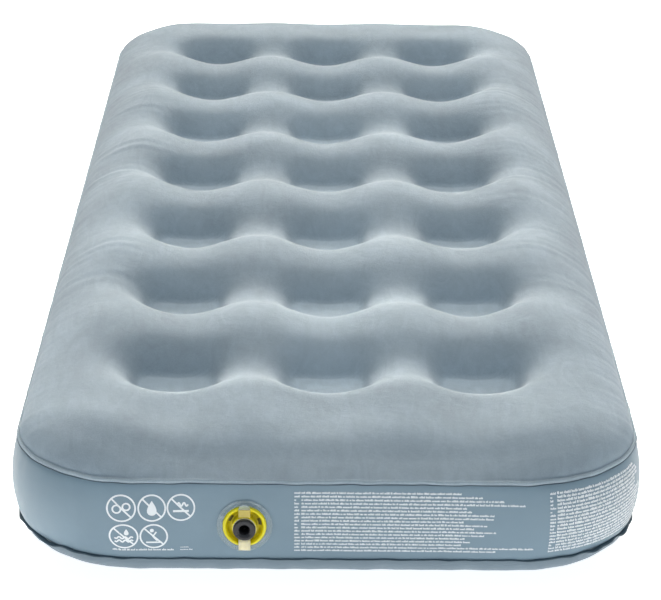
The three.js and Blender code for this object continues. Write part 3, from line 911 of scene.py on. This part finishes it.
def symbols():
    """Five crossed circles: two links, a drop, a bench, a pool and a slide."""
    links_at, drop_at, bench_at, pool_at, slide_at = np.array(
        [(-234, 102), (-199.7, 102.3), (-166.5, 102.8), (-231.8, 66.5), (-198, 66.5)]) * MM
    marks = []
    cut = SYMBOL_R * SYMBOL_CUT
    for s, z in (links_at, drop_at, bench_at, pool_at, slide_at):
        marks += stroke_path(circle(s, z, SYMBOL_R), STROKE)
        marks += stroke_path([(s - cut, z + cut), (s, z), (s + cut, z - cut)], STROKE)
    s, z = links_at
    marks += stroke_path(circle(s - 5 * MM, z - 1 * MM, 4.5 * MM, 20), STROKE)
    marks += stroke_path(circle(s + 5.5 * MM, z + 2 * MM, 4 * MM, 20), STROKE)
    marks.append(drop(*drop_at, 15 * MM))
    s, z = bench_at
    marks += stroke_path(bar(s, z - 4 * MM, 9 * MM), 2.6 * MM)
    marks += stroke_path(wave(s + 2 * MM, z + 4 * MM, 6 * MM, 2 * MM, 2), STROKE)
    s, z = pool_at
    for row in (-6 * MM, -1.5 * MM):
        marks += stroke_path(wave(s, z + row, 10 * MM, 1.4 * MM, 3), STROKE)
    marks.append(drop(s + 3 * MM, z + 6 * MM, 7 * MM))
    s, z = slide_at
    leaning = [(s + 4 * MM, z - 6 * MM), (s - 1 * MM, z), (s + 3 * MM, z + 6 * MM)]
    marks += stroke_path(bar(s, z - 8 * MM, 9 * MM), STROKE)
    marks += stroke_path(leaning, STROKE)
    marks.append(circle(s - 2 * MM, z + 8 * MM, 2.4 * MM, 14)[:-1])
    return wall_mesh("generic_symbols", marks, INK)


def text_line(start, end, z, height):
    """A row of small upright marks in groups, in place of the letters and words of a line."""
    marks, at = [], start
    letter_gap, word_gap, margin = 0.3 * MM, 0.9 * MM, 3 * MM
    while at < end - margin:
        for _ in range(rng.integers(2, 10)):
            width = rng.uniform(0.6, 1.1) * MM
            top = z + height * rng.choice((0.68, 0.72, 1.0))
            marks.append([(at, z), (at + width, z), (at + width, top), (at, top)])
            at += width + letter_gap
            if at > end:
                break
        at += word_gap
    return marks


def text_bars():
    """Two blocks of lines, each with a column of short marks at its left, and three small lines."""
    bars = []
    long_lines = {2: 204, 3: 228, 16: 240}  # where these lines end, in millimetres
    for k in range(TEXT_LINES):
        z = TEXT_TOP - k * LINE_PITCH
        end = long_lines.get(k, rng.uniform(146, 200)) * MM
        bars += text_line(-37 * MM, -31 * MM, z, LINE_HEIGHT)
        bars += text_line(-29 * MM, end, z, LINE_HEIGHT)
        bars += text_line(254 * MM, 260 * MM, z, LINE_HEIGHT)
        bars += text_line(262 * MM, rng.uniform(385, 412) * MM, z, CORNER_LINE_HEIGHT)
    bars += text_line(-245 * MM, -176 * MM, 47 * MM, 2.6 * MM)
    bars += text_line(-168 * MM, -158 * MM, 51 * MM, 1.2 * MM)
    bars += text_line(-168 * MM, -154 * MM, 47.5 * MM, 1.6 * MM)
    return wall_mesh("generic_text_bars", bars, INK)


symbols()
text_bars()

# ---- Floor, sky and lights ----
FLOOR_HALF = 15
FLOOR_GREY = 0.93
FLOOR_GLOW = 0.77  # enough for the floor to be pure white in the picture
LIGHT_COLOUR = (1, 0.91, 0.81)
SKY_IN_FRONT = (0.372, 0.455, 0.53, 1)
SKY_BEHIND = (0.82, 0.77, 0.70, 1)
SKY_STRENGTH = 0.88
SKY_SIDE_STRENGTH = 0.5


def studio_floor():
    half = FLOOR_HALF
    mesh = bpy.data.meshes.new("studio_floor")
    mesh.from_pydata([(-half, -half, 0), (half, -half, 0), (half, half, 0), (-half, half, 0)],
                     [], [(0, 1, 2, 3)])
    made = bpy.data.objects.new("studio_floor", mesh)
    bpy.context.scene.collection.objects.link(made)
    white, _, shader = nodes_of("studio_white")
    shader.inputs["Base Color"].default_value = (FLOOR_GREY, FLOOR_GREY, FLOOR_GREY, 1)
    shader.inputs["Roughness"].default_value = 0.9
    shader.inputs["Emission Color"].default_value = (1, 1, 1, 1)
    shader.inputs["Emission Strength"].default_value = FLOOR_GLOW
    mesh.materials.append(white)


def studio_sky():
    """A sky that is warm and bright behind, cooler and dimmer in front, and dim to the sides."""
    world = bpy.data.worlds.new("studio")
    world.use_nodes = True
    sky = world.node_tree
    towards = node(sky, "ShaderNodeTexCoord")
    split = node(sky, "ShaderNodeSeparateXYZ", {0: towards.outputs["Generated"]})
    behind = remap(sky, split.outputs["Y"], -0.4, 1, 0, 1)
    shades = node(sky, "ShaderNodeMix", {"Factor": behind, "A": SKY_IN_FRONT, "B": SKY_BEHIND},
                  data_type="RGBA")
    sideways = node(sky, "ShaderNodeMath", {0: split.outputs["X"]}, operation="ABSOLUTE")
    strength = remap(sky, sideways.outputs[0], 0.25, 1, SKY_STRENGTH, SKY_SIDE_STRENGTH)
    background = sky.nodes["Background"]
    sky.links.new(shades.outputs["Result"], background.inputs["Color"])
    sky.links.new(strength, background.inputs["Strength"])
    bpy.context.scene.world = world


def softbox(name, place_at, target, size, power, spread=180):
    """A rectangular light aimed at a target; its spread is in degrees."""
    light = bpy.data.lights.new(name, "AREA")
    light.shape = "RECTANGLE"
    light.size, light.size_y = size
    light.energy = power
    light.color = LIGHT_COLOUR
    light.spread = math.radians(spread)
    made = bpy.data.objects.new(name, light)
    made.location = place_at
    aim = Vector(target) - Vector(place_at)
    made.rotation_euler = aim.to_track_quat("-Z", "Y").to_euler()
    bpy.context.scene.collection.objects.link(made)


studio_floor()
studio_sky()
softbox("overhead_softbox", (0, 2.2, 6.5), (0, 0, 0.1), size=(6, 5), power=208)
softbox("back_softbox", (0, 9, 4.6), (0, -3.7, 0), size=(8, 3), power=138, spread=24)

# ---- Camera ----
CAMERA_FROM_MIDDLE = (-14.8 * MM, -3510 * MM, 1368.5 * MM)
CAMERA_DOWN, CAMERA_YAW, CAMERA_ROLL = (math.radians(a) for a in (21.56, -0.376, -0.537))
SENSOR_WIDTH, LENS = 36, 135.6  # in Blender's millimetres


def camera():
    """The camera, turned by its yaw and pitch and then rolled about its own axis."""
    data = bpy.data.cameras.new("camera")
    data.sensor_width = SENSOR_WIDTH
    data.lens = LENS
    made = bpy.data.objects.new("camera", data)
    ahead = Vector((-math.sin(CAMERA_YAW), math.cos(CAMERA_YAW), 0))
    right = Vector((math.cos(CAMERA_YAW), math.sin(CAMERA_YAW), 0))
    up = Vector((0, 0, 1))
    forward = ahead * math.cos(CAMERA_DOWN) - up * math.sin(CAMERA_DOWN)
    above = ahead * math.sin(CAMERA_DOWN) + up * math.cos(CAMERA_DOWN)
    tilted_right = right * math.cos(CAMERA_ROLL) - above * math.sin(CAMERA_ROLL)
    tilted_up = right * math.sin(CAMERA_ROLL) + above * math.cos(CAMERA_ROLL)
    placed = Matrix((tilted_right, tilted_up, -forward)).transposed().to_4x4()
    placed.translation = Vector(CAMERA_FROM_MIDDLE) + Vector((0, CENTRE_Y, 0))
    made.matrix_world = placed
    bpy.context.scene.collection.objects.link(made)
    return made


bpy.context.scene.camera = camera()
bpy.context.scene.view_settings.view_transform = "Standard"
